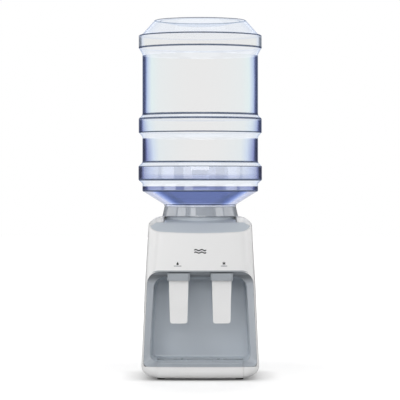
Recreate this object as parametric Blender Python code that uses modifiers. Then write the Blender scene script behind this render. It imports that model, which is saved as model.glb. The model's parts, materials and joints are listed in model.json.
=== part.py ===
"""Countertop water dispenser: white cabinet, grey cup bay with two push-back taps,
drip tray, reservoir with electric cooling, and a 20 litre bottle upside down on top.

Metres, +Z up, origin on the table under the middle of the cabinet, front towards -Y."""
import math

import bmesh
import bpy
from mathutils import Matrix, Vector

# ---------------------------------------------------------------- driving dimensions
GAP = 0.0003                     # clearance between neighbouring pieces
WALL = 0.0025                    # cabinet mouldings

# cabinet, seen from above: half widths shrink with height, the front leans back a little
HALF_WIDTH = 0.1297              # at table level
WIDTH_SLOPE = 0.0305
WIDTH_CURVE = 0.054
FRONT = 0.150                    # front face at table level
FRONT_SLOPE = 0.030
BACK = 0.1463
FRONT_RADIUS = 0.030
BACK_RADIUS = 0.022
FRONT_BOW = 0.004                # the front face bulges this much at its middle

FOOT_HEIGHT = 0.005
BASE_TOP = 0.031
BASE_UNDERCUT = 0.0250           # how far the base tucks in at the sides
BASE_FLOOR = 0.003               # thickness of its floor
BASE_CURVE = 0.017               # radius under the front
SHELL_BOTTOM = BASE_TOP + GAP
SHELL_TOP = 0.338                # side walls end, shoulders start
HOOD_TOP = 0.356
SHOULDER = 0.030                 # width of the rounded shoulder
SPLIT_Y = 0.030                  # front shell meets rear hood

# apron: slopes from the neck down to the front edge
APRON_NECK_Y = -0.0785
APRON_NECK_Z = 0.3477
APRON_BEND_Y = -0.105
APRON_BEND_Z = 0.3443
APRON_FRONT_Y = -0.160
APRON_FRONT_Z = 0.3080
APRON_CORNER_Y = -0.116
# the shoulder ends beside the neck: (x, y) along the apron's right side, from the neck to the front corner
APRON_SIDE = ((0.0600, -0.0100), (0.0795, -0.0180), (0.0795, -0.0880), (0.0812, -0.0945), (0.0858, -0.0987),
              (0.0940, -0.1005), (0.1020, -0.1085))

# cup bay: (z low, z high, half width low, half width high, radius low, radius high)
BAY_MOUTH = (0.029, 0.2381, 0.1246, 0.1150, 0.010, 0.025)
BAY_INNER = (0.0407, 0.2259, 0.1115, 0.1005, 0.018, 0.022)
BAY_INNER_Y = -0.120
BAY_BACK_Y = -0.032
BAY_COVE = 0.006                 # radius between the walls and the back
BAY_DRAFT = 0.003                # the walls close in this much towards the back
LINER_WALL = 0.002

# drip tray
TRAY_HALF = 0.0945
TRAY_BACK_Y = -0.0445
TRAY_FRONT_BLOCK_Y = -0.1318
TRAY_RIM_Z = 0.0335
GRILLE_TOP = 0.0407
GRILLE_THICK = 0.0022

# neck, collar and bottle seat
NECK_RADIUS = 0.0785
NECK_WALL = 0.003
NECK_TOP = 0.3565

# taps
TAP_X = 0.047
TAP_Z = 0.2085
NOZZLE_Y = -0.097
CAP_LOW = 0.2187
CAP_HIGH = 0.2345
CAP_HALF = 0.0245
CAP_FRONT = -0.1425
CAP_BACK = -0.1085
PIVOT_Y = -0.128
PIVOT_Z = 0.2265
LEVER_LOW = 0.125
LEVER_TOP_HALF = 0.0215
LEVER_LOW_HALF = 0.0190
LEVER_FRONT_Y = -0.1345
LEVER_BACK_Y = -0.1310
PIN_RADIUS = 0.0016
HUB_BORE = 0.0019

# water circuit
TANK_RADIUS = 0.072
TANK_LOW = 0.246
TANK_HIGH = 0.335
COLD_Y = 0.055
COLD_RADIUS = 0.042
COLD_LOW = 0.115
COLD_HIGH = 0.225
COOLER_Z = 0.185                 # height of the cooling stack and fan

# bottle, upside down: outer radius and height from the push-up to the mouth
BOTTLE_WALL = 0.0014
BOTTLE_STEPS = 36
BOTTLE_OUTLINE = (
    (0.0500, 0.7850), (0.0880, 0.7950), (0.0980, 0.7960), (0.1240, 0.7665), (0.1365, 0.7622),
    (0.1375, 0.7590), (0.1375, 0.7325), (0.1300, 0.7190), (0.1300, 0.5845), (0.1375, 0.5735),
    (0.1375, 0.5465), (0.1300, 0.5335), (0.1300, 0.4800), (0.1380, 0.4675), (0.1380, 0.4395),
    (0.1300, 0.4290), (0.1300, 0.4130), (0.1285, 0.4110), (0.0817, 0.3840), (0.0340, 0.3565),
    (0.0275, 0.3490), (0.0275, 0.3250), (0.0290, 0.3235), (0.0290, 0.3170), (0.0275, 0.3155),
    (0.0275, 0.3100),
)

WHITE = (0.80, 0.80, 0.80)
GREY = (0.36, 0.40, 0.43)
DARK = (0.05, 0.05, 0.055)
STEEL = (0.60, 0.61, 0.62)
RUBBER = (0.03, 0.03, 0.03)
BLUE = (0.45, 0.55, 0.90)

# ---------------------------------------------------------------- scene set-up
for old in list(bpy.data.objects):
    bpy.data.objects.remove(old, do_unlink=True)

PARTS = bpy.data.collections.new("water_dispenser")
CUTTERS = bpy.data.collections.new("cutters")
for group in (PARTS, CUTTERS):
    bpy.context.scene.collection.children.link(group)


def material(name, colour, roughness=0.4, metallic=0.0):
    """A Principled material, made once for each name."""
    made = bpy.data.materials.get(name)
    if made is None:
        made = bpy.data.materials.new(name)
        made.use_nodes = True
        shader = made.node_tree.nodes["Principled BSDF"]
        shader.inputs["Base Color"].default_value = (*colour, 1.0)
        shader.inputs["Roughness"].default_value = roughness
        shader.inputs["Metallic"].default_value = metallic
    return made


WHITE_PLASTIC = material("white_plastic", WHITE, 0.35)
GREY_PLASTIC = material("grey_plastic", GREY, 0.40)
DARK_PLASTIC = material("dark_plastic", DARK, 0.45)
STEEL_SHEET = material("steel", STEEL, 0.30, 1.0)
ALUMINIUM = material("aluminium", (0.72, 0.73, 0.75), 0.35, 1.0)
SOFT_RUBBER = material("rubber", RUBBER, 0.80)
FOAM = material("foam", (0.85, 0.86, 0.84), 0.90)
CERAMIC = material("ceramic", (0.82, 0.80, 0.76), 0.60)
BOARD = material("board", (0.04, 0.22, 0.10), 0.50)
CLEAR_BLUE = material("clear_blue", BLUE, 0.10)
CLEAR_HOSE = material("hose", (0.70, 0.72, 0.72), 0.40)


# ---------------------------------------------------------------- modelling helpers
def place(obj, finish=None):
    """Put a finished piece in the dispenser, or a cutting shape among the cutters."""
    if finish is None:
        CUTTERS.objects.link(obj)
        obj.hide_render = True
        obj.display_type = "WIRE"
    else:
        PARTS.objects.link(obj)
        obj.data.materials.append(finish)
    return obj


def from_bmesh(name, bm, finish=None, smooth=40.0):
    bmesh.ops.recalc_face_normals(bm, faces=bm.faces)
    mesh = bpy.data.meshes.new(name)
    bm.to_mesh(mesh)
    bm.free()
    mesh.shade_smooth()
    mesh.set_sharp_from_angle(angle=math.radians(smooth))
    return place(bpy.data.objects.new(name, mesh), finish)


def add_box(bm, low, high):
    size = Vector(high) - Vector(low)
    middle = (Vector(high) + Vector(low)) / 2
    bmesh.ops.create_cube(bm, size=1.0, matrix=Matrix.Translation(middle) @ Matrix.Diagonal((*size, 1.0)))


def boxes(name, corners, finish=None):
    """One mesh holding a box for each (low, high) pair; several boxes are for cutters only."""
    bm = bmesh.new()
    for low, high in corners:
        add_box(bm, low, high)
    return from_bmesh(name, bm, finish)


def box(name, low, high, finish=None, bevel=0.0):
    obj = boxes(name, [(low, high)], finish)
    if bevel:
        edge = obj.modifiers.new("bevel", "BEVEL")
        edge.width = bevel
        edge.segments = 2
    return obj


def rod(name, start, end, radius, finish=None, segments=24):
    """A cylinder between two points."""
    start, end = Vector(start), Vector(end)
    along = end - start
    turn = along.to_track_quat("Z", "Y").to_matrix().to_4x4()
    bm = bmesh.new()
    bmesh.ops.create_cone(
        bm, cap_ends=True, segments=segments, radius1=radius, radius2=radius,
        depth=along.length, matrix=Matrix.Translation((start + end) / 2) @ turn)
    return from_bmesh(name, bm, finish)


def prism(name, outline, low, high, axis, finish=None):
    """An outline in the plane across `axis`, extruded from low to high."""
    order = {"X": lambda a, b, c: (c, a, b), "Y": lambda a, b, c: (a, c, b), "Z": lambda a, b, c: (a, b, c)}[axis]
    bm = bmesh.new()
    first = [bm.verts.new(order(a, b, low)) for a, b in outline]
    last = [bm.verts.new(order(a, b, high)) for a, b in outline]
    bm.faces.new(first)
    bm.faces.new(last)
    for k in range(len(first)):
        after = (k + 1) % len(first)
        bm.faces.new((first[k], first[after], last[after], last[k]))
    return from_bmesh(name, bm, finish)


def loft(name, rings, finish=None):
    """Skin a list of rings with equal point counts, and close both ends."""
    bm = bmesh.new()
    rows = [[bm.verts.new(point) for point in ring] for ring in rings]
    for near, far in zip(rows, rows[1:]):
        for k in range(len(near)):
            after = (k + 1) % len(near)
            bm.faces.new((near[k], near[after], far[after], far[k]))
    bm.faces.new(rows[0])
    bm.faces.new(rows[-1])
    bmesh.ops.triangulate(bm, faces=[face for face in bm.faces if len(face.verts) == 4])
    return from_bmesh(name, bm, finish)


def turned(name, profile, finish=None, steps=40, centre=(0.0, 0.0, 0.0), axis="Z", closed=True):
    """A (radius, height) outline turned about `axis`; it ends up running down the outer side."""
    around = zip(profile, profile[1:] + profile[:1])
    if sum(r1 * h2 - r2 * h1 for (r1, h1), (r2, h2) in around) > 0:
        profile = profile[::-1]
    bm = bmesh.new()
    points = [bm.verts.new((radius, 0.0, height)) for radius, height in profile]
    for first, second in zip(points, points[1:]):
        bm.edges.new((first, second))
    if closed:
        bm.edges.new((points[-1], points[0]))
    mesh = bpy.data.meshes.new(name)
    bm.to_mesh(mesh)
    bm.free()
    obj = place(bpy.data.objects.new(name, mesh), finish)
    obj.location = centre
    if axis == "Y":                       # heights of the outline then run along +Y
        obj.rotation_euler = (math.radians(-90), 0.0, 0.0)
    screw = obj.modifiers.new("turn", "SCREW")
    screw.steps = steps
    screw.render_steps = steps
    screw.use_smooth_shade = True
    screw.use_merge_vertices = True
    screw.merge_threshold = 0.00001
    return obj


def smooth_route(points, per_span=4):
    """Points along a Catmull-Rom curve through the route's own points."""
    knots = [Vector(p) for p in points]
    knots = [2 * knots[0] - knots[1]] + knots + [2 * knots[-1] - knots[-2]]
    route = []
    for a, b, c, d in zip(knots, knots[1:], knots[2:], knots[3:]):
        for step in range(per_span):
            t = step / per_span
            route.append(0.5 * (2 * b + (c - a) * t + (2 * a - 5 * b + 4 * c - d) * t ** 2
                                + (3 * b - a - 3 * c + d) * t ** 3))
    return route + [knots[-2]]


def tube(name, route, radius, finish, resolution=2):
    """A solid round bar along a route."""
    curve = bpy.data.curves.new(name, "CURVE")
    curve.dimensions = "3D"
    curve.bevel_depth = radius
    curve.bevel_resolution = resolution
    curve.use_fill_caps = True
    spline = curve.splines.new("POLY")
    spline.points.add(len(route) - 1)
    for point, position in zip(spline.points, route):
        point.co = (*position, 1.0)
    return place(bpy.data.objects.new(name, curve), finish)


def boolean(obj, other, operation):
    step = obj.modifiers.new(other.name, "BOOLEAN")
    step.operation = operation
    step.solver = "EXACT"
    step.object = other
    return obj


def cut(obj, *others):
    for other in others:
        boolean(obj, other, "DIFFERENCE")
    return obj


def join(obj, *others):
    for other in others:
        boolean(obj, other, "UNION")
    return obj


def keep(obj, other):
    return boolean(obj, other, "INTERSECT")


# ---------------------------------------------------------------- cabinet surfaces
def half_width(z):
    return HALF_WIDTH - WIDTH_SLOPE * z - WIDTH_CURVE * z * z


def front_y(x, z, inset=0.0, narrow=0.0):
    """Y of the cabinet's front face at height z, bowed, with round corners."""
    width = half_width(z) - inset - narrow
    radius = max(FRONT_RADIUS - inset, 0.004)
    flat = width - radius
    face = -(FRONT - FRONT_SLOPE * z) + inset
    across = min(abs(x), width)
    if across <= flat:
        return face + FRONT_BOW * (across / flat) ** 2
    reach = across - flat
    return face + FRONT_BOW + radius - math.sqrt(max(radius * radius - reach * reach, 0.0))


def plan_ring(z, inset=0.0, narrow=0.0, front_in=0.0, corner_steps=5, front_steps=4):
    """Outline of the cabinet at height z, anticlockwise from above, starting at the back right."""
    width = half_width(z) - inset - narrow
    radius = max(FRONT_RADIUS - inset, 0.004)
    back_radius = max(BACK_RADIUS - inset, 0.004)
    back = BACK - inset
    ring = []
    for step in range(corner_steps + 1):
        angle = math.pi / 2 * step / corner_steps
        ring.append((width - back_radius + back_radius * math.cos(angle),
                     back - back_radius + back_radius * math.sin(angle)))
    ring += [(-x, y) for x, y in reversed(ring)]
    front_half = []
    for step in range(corner_steps + 1):
        x = width - radius + radius * math.cos(math.pi / 2 * step / corner_steps)
        front_half.append((x, front_y(x, z, inset, narrow) + front_in))
    for step in range(1, front_steps + 1):
        x = (width - radius) * (1 - step / front_steps)
        front_half.append((x, front_y(x, z, inset, narrow) + front_in))
    left = [(-x, y) for x, y in front_half]
    return [(x, y, z) for x, y in ring + left + front_half[-2::-1]]


def shell_rings(inset, top_drop, bottom):
    """Rings from the bottom of the walls to the top of the rounded shoulders."""
    levels = [bottom + (SHELL_TOP - bottom) * k / 5 for k in range(6)]
    rings = [plan_ring(z, inset) for z in levels]
    for step in range(1, 6):
        angle = math.pi / 2 * step / 5
        z = SHELL_TOP + (HOOD_TOP - top_drop - SHELL_TOP) * math.sin(angle)
        shrink = (SHOULDER - inset / 2) * (1 - math.cos(angle))
        ring = plan_ring(SHELL_TOP, inset + shrink)
        rings.append([(x, y, z) for x, y, _ in ring])
    return rings


def base_rings(inset=0.0):
    """Rings of the base, which tucks in under the sides and curves under the front."""
    rings = []
    height = BASE_TOP - FOOT_HEIGHT
    for step in range(9):
        z = FOOT_HEIGHT + inset + (height - inset) * (step / 8)
        tuck = BASE_UNDERCUT * max((0.033 - z) / 0.028, 0.0) ** 2.6
        drop = min(max((FOOT_HEIGHT + BASE_CURVE - z) / BASE_CURVE, 0.0), 1.0)
        curve = BASE_CURVE * (1 - math.sqrt(1 - drop * drop))
        rings.append(plan_ring(z, inset, narrow=tuck, front_in=curve))
    return rings


def apron_z(y):
    """Height of the apron's top: nearly level at the neck, then down to the front edge."""
    if y >= APRON_BEND_Y:
        slope = (APRON_NECK_Z - APRON_BEND_Z) / (APRON_NECK_Y - APRON_BEND_Y)
        return APRON_NECK_Z + slope * (min(y, APRON_NECK_Y + 0.02) - APRON_NECK_Y)
    slope = (APRON_BEND_Z - APRON_FRONT_Z) / (APRON_BEND_Y - APRON_FRONT_Y)
    return APRON_BEND_Z + slope * (y - APRON_BEND_Y)


def apron_plan(inset, spread):
    """Outline of the apron from above; spread pushes the front edge out through the walls."""
    corner_x = half_width(SHELL_TOP) - WALL - inset
    side = [(x - inset, y - inset) for x, y in APRON_SIDE]
    if spread:
        front = [(corner_x, APRON_CORNER_Y), (0.150, APRON_CORNER_Y), (0.150, -0.200)]
    else:
        behind_wall = WALL + inset + 0.0006
        across = [(corner_x - 0.0024) - 0.026 * (step / 5) ** 1.6 for step in range(6)]
        front = [(corner_x - 0.0016, APRON_CORNER_Y + 0.001)]
        for x in across + [0.050, 0.025, 0.0]:
            height = apron_z(front_y(x, 0.322))
            front.append((x, front_y(x, height, behind_wall)))
    half = side + front
    return half + [(-x, y) for x, y in reversed(half) if x > 0]


def apron_slab(name, lift, drop, finish=None):
    """Everything between the apron's surface raised by lift and lowered by drop."""
    levels = [-0.210, APRON_FRONT_Y, -0.140, -0.122, -0.110, APRON_BEND_Y, -0.099, APRON_NECK_Y, -0.058, 0.0]
    over = [(y, apron_z(y) + lift) for y in levels]
    under = [(y, apron_z(y) - drop) for y in levels]
    return prism(name, over + under[::-1], -0.2, 0.2, "X", finish)


# ---------------------------------------------------------------- bay surfaces
def bay_loop(shape, steps=5):
    """Rounded trapezoid in X and Z, anticlockwise seen from the front."""
    z_low, z_high, half_low, half_high, r_low, r_high = shape

    def half_at(z):
        return half_low + (half_high - half_low) * (z - z_low) / (z_high - z_low)

    right = []
    for step in range(steps + 1):
        angle = -math.pi / 2 + math.pi / 2 * step / steps
        z = z_low + r_low + r_low * math.sin(angle)
        right.append((half_at(z) - r_low + r_low * math.cos(angle), z))
    right.append((half_at((z_low + z_high) / 2), (z_low + z_high) / 2))
    for step in range(steps + 1):
        angle = math.pi / 2 * step / steps
        z = z_high - r_high + r_high * math.sin(angle)
        right.append((half_at(z) - r_high + r_high * math.cos(angle), z))
    top = [(right[-1][0] * k, z_high) for k in (0.5, 0.0, -0.5)]
    bottom = [(right[0][0] * k, z_low) for k in (-0.5, 0.0, 0.5)]
    return right + top + [(-x, z) for x, z in reversed(right)] + bottom


def grown(shape, by):
    """The same rounded trapezoid, larger all round."""
    z_low, z_high, half_low, half_high, r_low, r_high = shape
    return (z_low - by, z_high + by, half_low + by, half_high + by, max(r_low + by, 0.001), max(r_high + by, 0.001))


def flat_ring(shape, y):
    return [(x, y, z) for x, z in bay_loop(shape)]


def face_ring(shape, behind):
    """A ring that follows the cabinet's front face, a little behind it."""
    return [(x, front_y(x, z) + behind, z) for x, z in bay_loop(shape)]


# ---------------------------------------------------------------- cabinet
def build_cabinet():
    mouth = prism("bay_mouth_cutter", bay_loop(BAY_MOUTH), -0.200, -0.060, "Y")
    inside = loft("shell_inside", [[(x, y, SHELL_BOTTOM - 0.01) for x, y, _ in plan_ring(SHELL_BOTTOM, WALL)]]
                  + shell_rings(WALL, WALL, SHELL_BOTTOM))
    above_apron = apron_slab("above_apron", 0.10, GAP)
    keep(above_apron, prism("apron_zone", apron_plan(0.0, True), 0.28, 0.45, "Z"))
    neck_hole = rod("neck_hole", (0, 0, 0.30), (0, 0, 0.40), NECK_RADIUS + GAP, segments=48)
    rear_zone = boxes("rear_zone", [((-0.2, SPLIT_Y, 0.0), (0.2, 0.2, 0.5))])
    shoulder_zone = boxes("shoulder_zone", [((-0.2, -0.2, SHELL_TOP), (0.2, SPLIT_Y + 0.001, 0.5))])
    join(rear_zone, shoulder_zone)
    front_zone = boxes("front_zone", [((-0.2, -0.2, 0.0), (0.2, SPLIT_Y - GAP, SHELL_TOP - GAP))])

    front = loft("front_shell", shell_rings(0.0, 0.0, SHELL_BOTTOM), WHITE_PLASTIC)
    keep(front, front_zone)
    cut(front, inside, mouth, above_apron)

    rear_opening = box("rear_opening", (-0.0853, 0.12, 0.0447), (0.0853, 0.2, 0.2903))
    hood = loft("rear_hood", shell_rings(0.0, 0.0, SHELL_BOTTOM), WHITE_PLASTIC)
    rim = prism("shoulder_rim", apron_plan(-WALL, False), 0.28, 0.45, "Z")
    cut(rim, prism("rim_inside", apron_plan(0.0, True), 0.27, 0.46, "Z"))
    hood_inside = loft("hood_inside", [[(x, y, SHELL_BOTTOM - 0.01) for x, y, _ in plan_ring(SHELL_BOTTOM, WALL)]]
                       + shell_rings(WALL, WALL, SHELL_BOTTOM))
    cut(hood_inside, rim)
    cut(hood, hood_inside)
    keep(hood, rear_zone)
    cut(hood, above_apron, neck_hole, rear_opening)

    cover = box("rear_cover", (-0.085, BACK - WALL, 0.045), (0.085, BACK, 0.290), WHITE_PLASTIC)
    slots = []
    for row in range(9):
        z = COOLER_Z - 0.032 + 0.008 * row
        slots.append(((-0.034, 0.14, z - 0.0018), (0.034, 0.16, z + 0.0018)))
    for row in range(5):
        z = 0.238 + 0.008 * row
        slots.append(((-0.060, 0.14, z - 0.0015), (-0.004, 0.16, z + 0.0015)))
        slots.append(((0.004, 0.14, z - 0.0015), (0.060, 0.16, z + 0.0015)))
    cut(cover, boxes("vent_slots", slots))
    cut(cover, box("switch_window", (-0.0613, 0.14, 0.0697), (-0.0387, 0.16, 0.0903)))
    cut(cover, rod("gland_hole", (0.055, 0.13, 0.080), (0.055, 0.16, 0.080), 0.0083))
    for k, (x, z) in enumerate(((-0.077, 0.054), (0.077, 0.054), (-0.077, 0.281), (0.077, 0.281)), 1):
        cut(cover, rod(f"screw_hole_{k}", (x, 0.13, z), (x, 0.16, z), 0.0022, segments=16))
        screw = turned(f"rear_screw_{k}", ((0.0, 0.0028), (0.0030, 0.0022), (0.0036, 0.0003), (0.0018, 0.0003),
                                           (0.0018, -0.0080), (0.0008, -0.0100), (0.0, -0.0100)),
                       STEEL_SHEET, steps=12, centre=(x, BACK, z), axis="Y", closed=False)
        cut(screw, box(f"screw_drive_{k}", (x - 0.0022, BACK + 0.0015, z - 0.0004),
                       (x + 0.0022, BACK + 0.004, z + 0.0004)))


def build_base():
    pan = loft("base_pan", base_rings(), WHITE_PLASTIC)
    hollow = loft("base_hollow", base_rings(BASE_FLOOR) + [plan_ring(0.05, BASE_FLOOR)])
    cut(pan, hollow)
    walls = box("tray_bay_walls", (-TRAY_HALF - 0.002, -0.155, 0.0055),
                (TRAY_HALF + 0.002, TRAY_BACK_Y + 0.002, BASE_TOP))
    keep(walls, loft("base_solid", base_rings()))
    join(pan, walls)
    cut(pan, box("tray_front_zone", (-TRAY_HALF, -0.2, 0.0), (TRAY_HALF, TRAY_FRONT_BLOCK_Y, 0.05)))
    cut(pan, box("under_tray_zone", (-TRAY_HALF, -0.2, 0.0081), (TRAY_HALF, TRAY_BACK_Y, 0.05)))
    for x, side in ((-0.086, "left"), (0.086, "right")):
        for y, end in ((-0.088, "front"), (0.116, "rear")):
            turned(f"foot_{end}_{side}", ((0.0, FOOT_HEIGHT - GAP), (0.0090, FOOT_HEIGHT - GAP), (0.0085, 0.0008),
                                          (0.0078, 0.0), (0.0, 0.0)),
                   SOFT_RUBBER, steps=20, centre=(x, y, 0.0), closed=False)


def build_tray():
    """The drawer under the bay: a white front with a basin behind it, and a lift-out grille."""
    half = TRAY_HALF - GAP
    tray = loft("drip_tray", base_rings(), WHITE_PLASTIC)
    keep(tray, box("tray_front_block", (-half, -0.2, 0.0), (half, TRAY_FRONT_BLOCK_Y - GAP, BASE_TOP - GAP)))
    join(tray, box("tray_basin", (-half + 0.002, TRAY_FRONT_BLOCK_Y - 0.004, 0.0085),
                   (half - 0.002, TRAY_BACK_Y - 0.001, TRAY_RIM_Z - GAP)))
    cut(tray, box("tray_inside", (-half + 0.004, TRAY_FRONT_BLOCK_Y - 0.001, 0.0105),
                  (half - 0.004, TRAY_BACK_Y - 0.003, 0.06)))
    sections = []
    for step in range(13):
        x = half * (2 * step / 12 - 1)
        lip = front_y(x, BASE_TOP) + 0.0006
        bend = BAY_INNER_Y - 0.001
        sections.append([(x, lip, BASE_TOP + GAP), (x, lip + 0.0024, BASE_TOP + GAP),
                         (x, bend, GRILLE_TOP - GRILLE_THICK), (x, TRAY_BACK_Y - 0.0006, GRILLE_TOP - GRILLE_THICK),
                         (x, TRAY_BACK_Y - 0.0006, GRILLE_TOP), (x, bend, GRILLE_TOP),
                         (x, lip, BASE_TOP + 0.0014)])
    grille = loft("drip_grille", sections, GREY_PLASTIC)
    front, back = TRAY_FRONT_BLOCK_Y + 0.0005, TRAY_BACK_Y - 0.0035
    skirt = box("grille_skirt", (-half + 0.0045, front, 0.0300), (half - 0.0045, back, 0.0390))
    cut(skirt, box("skirt_inside", (-half + 0.0060, front + 0.0015, 0.0200), (half - 0.0060, back - 0.0015, 0.0500)))
    join(grille, skirt)
    slots = []
    for row in range(10):
        y = -0.1130 + 0.0065 * row
        for left, right in ((-0.081, -0.029), (-0.025, 0.025), (0.029, 0.081)):
            slots.append(((left, y - 0.0013, 0.02), (right, y + 0.0013, 0.05)))
    cut(grille, boxes("grille_slots", slots))


def build_bay():
    """Grey moulding of the cup bay: a sloped band, straight walls and a coved back wall."""
    inner, outer = BAY_INNER, grown(BAY_INNER, LINER_WALL)
    mouth = grown(BAY_MOUTH, -0.0004)
    mouth = (BASE_TOP + GAP, *mouth[1:])
    rings = []
    for step in range(4):
        angle = math.pi / 2 * step / 3
        shrink = BAY_DRAFT + BAY_COVE * (1 - math.sin(angle))
        rings.append(flat_ring(grown(inner, -shrink), BAY_BACK_Y - BAY_COVE * (1 - math.cos(angle))))
    rings.append(flat_ring(inner, BAY_INNER_Y))
    rings.append(face_ring(mouth, 0.0006))
    rings.append(face_ring(mouth, 0.0030))
    rings.append(flat_ring(outer, BAY_INNER_Y + 0.0015))
    for step in range(3, -1, -1):
        angle = math.pi / 2 * step / 3
        shrink = BAY_DRAFT + BAY_COVE * (1 - math.sin(angle))
        rings.append(flat_ring(grown(outer, -shrink), BAY_BACK_Y + LINER_WALL - BAY_COVE * (1 - math.cos(angle))))
    liner = loft("bay_liner", rings, GREY_PLASTIC)
    cut(liner, box("tray_floor_zone", (-TRAY_HALF, -0.2, 0.0), (TRAY_HALF, TRAY_BACK_Y, 0.0440)))
    for x, side in ((-TAP_X, "left"), (TAP_X, "right")):
        cut(liner, rod(f"{side}_spigot_hole", (x, -0.06, TAP_Z), (x, 0.0, TAP_Z), 0.0093))
    windows = [((x - CAP_HALF - GAP, -0.2, CAP_LOW - GAP), (x + CAP_HALF + GAP, CAP_BACK + GAP, CAP_HIGH + GAP))
               for x in (-TAP_X, TAP_X)]
    cut(liner, boxes("cap_windows", windows))


def build_tap(side, x):
    """A push-back tap: the lever hangs on a pin in the cap and pushes the valve stem in."""
    corner = 0.004
    plan = ((x - CAP_HALF, CAP_BACK), (x - CAP_HALF, CAP_FRONT + corner), (x - CAP_HALF + corner, CAP_FRONT),
            (x + CAP_HALF - corner, CAP_FRONT), (x + CAP_HALF, CAP_FRONT + corner), (x + CAP_HALF, CAP_BACK))
    cap = prism(f"{side}_tap_cap", plan, CAP_LOW, CAP_HIGH, "Z", GREY_PLASTIC)
    half = CAP_HALF - 0.0023
    cut(cap, box(f"{side}_cap_inside", (x - half, CAP_FRONT + 0.0025, 0.2), (x + half, -0.10, CAP_HIGH - 0.002)))
    cut(cap, rod(f"{side}_cap_bore", (x - half - 0.0013, PIVOT_Y, PIVOT_Z), (x + half + 0.0013, PIVOT_Y, PIVOT_Z),
                 HUB_BORE, segments=16))
    rod(f"{side}_pivot_pin", (x - half - 0.0010, PIVOT_Y, PIVOT_Z), (x + half + 0.0010, PIVOT_Y, PIVOT_Z),
        PIN_RADIUS, STEEL_SHEET, segments=16)

    low_corner = 0.0055
    blade = [(x + LEVER_TOP_HALF, 0.2245)]
    for step in range(5):
        angle = math.pi / 2 * step / 4
        blade.append((x + LEVER_LOW_HALF - low_corner + low_corner * math.cos(angle),
                      LEVER_LOW + low_corner - low_corner * math.sin(angle)))
    blade += [(2 * x - px, z) for px, z in reversed(blade)]
    lever = prism(f"{side}_lever", blade, LEVER_FRONT_Y, LEVER_BACK_Y, "Y", WHITE_PLASTIC)
    hub = rod(f"{side}_hub", (x - 0.019, PIVOT_Y, PIVOT_Z), (x + 0.019, PIVOT_Y, PIVOT_Z), 0.0045, segments=16)
    join(lever, hub)
    cut(lever, rod(f"{side}_hub_bore", (x - 0.03, PIVOT_Y, PIVOT_Z), (x + 0.03, PIVOT_Y, PIVOT_Z),
                   HUB_BORE, segments=16))

    body = turned(f"{side}_tap_body", ((0.0118, -0.1120), (0.0135, -0.1095), (0.0135, -0.0375), (0.0090, -0.0375),
                                       (0.0090, -0.0120), (0.0050, -0.0120), (0.0050, -0.0600), (0.0085, -0.0600),
                                       (0.0085, -0.0830), (0.0045, -0.0830), (0.0045, -0.0860), (0.0075, -0.0860),
                                       (0.0075, -0.1030), (0.0030, -0.1030), (0.0030, -0.1120)),
                  GREY_PLASTIC, steps=16, centre=(x, 0.0, TAP_Z), axis="Y")
    join(body, rod(f"{side}_nozzle", (x, NOZZLE_Y, 0.176), (x, NOZZLE_Y, TAP_Z - 0.0078), 0.0085, segments=20))
    cut(body, rod(f"{side}_nozzle_bore", (x, NOZZLE_Y, 0.170), (x, NOZZLE_Y, TAP_Z - 0.002), 0.0055, segments=20))
    turned(f"{side}_valve_stem", ((0.0, -0.1305), (0.0028, -0.1301), (0.0040, -0.1290), (0.0040, -0.1280),
                                  (0.0022, -0.1270), (0.0022, -0.0809), (0.0060, -0.0809), (0.0060, -0.0789),
                                  (0.0, -0.0789)),
           WHITE_PLASTIC, steps=16, centre=(x, 0.0, TAP_Z), axis="Y", closed=False)
    turned(f"{side}_valve_seal", ((0.0063, -0.0827), (0.0063, -0.0812), (0.0026, -0.0812), (0.0026, -0.0827)),
           SOFT_RUBBER, steps=16, centre=(x, 0.0, TAP_Z), axis="Y")
    coil = []
    turns, per_turn = 4, 8
    for step in range(turns * per_turn + 1):
        angle = 2 * math.pi * step / per_turn
        coil.append((x + 0.0050 * math.cos(angle), -0.0778 + 0.0168 * step / (turns * per_turn),
                     TAP_Z + 0.0050 * math.sin(angle)))
    tube(f"{side}_valve_spring", coil, 0.0005, STEEL_SHEET, resolution=1)
    nut = [(0.0130 * math.cos(math.pi / 3 * k), 0.0130 * math.sin(math.pi / 3 * k)) for k in range(6)]
    nut = prism(f"{side}_tap_nut", [(x + a, TAP_Z + b) for a, b in nut], -0.0297, -0.0240, "Y", WHITE_PLASTIC)
    cut(nut, rod(f"{side}_nut_bore", (x, -0.04, TAP_Z), (x, 0.0, TAP_Z), 0.0093, segments=24))


def build_top():
    """Grey apron with the neck ring, the flared collar, and the funnel that the bottle sits in."""
    apron = apron_slab("top_cover", 0.0, WALL, GREY_PLASTIC)
    keep(apron, prism("apron_outline", apron_plan(GAP, False), 0.28, 0.45, "Z"))
    neck = rod("neck_outside", (0, 0, 0.330), (0, 0, NECK_TOP), NECK_RADIUS, segments=48)
    join(apron, neck)
    cut(apron, rod("neck_inside", (0, 0, 0.30), (0, 0, 0.40), NECK_RADIUS - NECK_WALL, segments=48))
    turned("bottle_collar", ((0.0768, 0.3803), (0.0780, 0.3813), (0.0794, 0.3818), (0.0801, 0.3808), (0.0801, 0.3794),
                             (0.0794, 0.3784), (0.0837, 0.3572), (0.0765, 0.3572), (0.0765, 0.3592), (0.0810, 0.3592),
                             (0.0773, 0.3770), (0.0758, 0.3790)),
           GREY_PLASTIC, steps=40)
    turned("seat_funnel", ((0.0745, 0.3775), (0.0745, 0.3550), (0.0728, 0.3550), (0.0728, 0.3740), (0.0330, 0.3505),
                           (0.0330, 0.3000), (0.0305, 0.3000), (0.0305, 0.3495), (0.0345, 0.3545), (0.0740, 0.3778)),
           WHITE_PLASTIC, steps=32)


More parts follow.
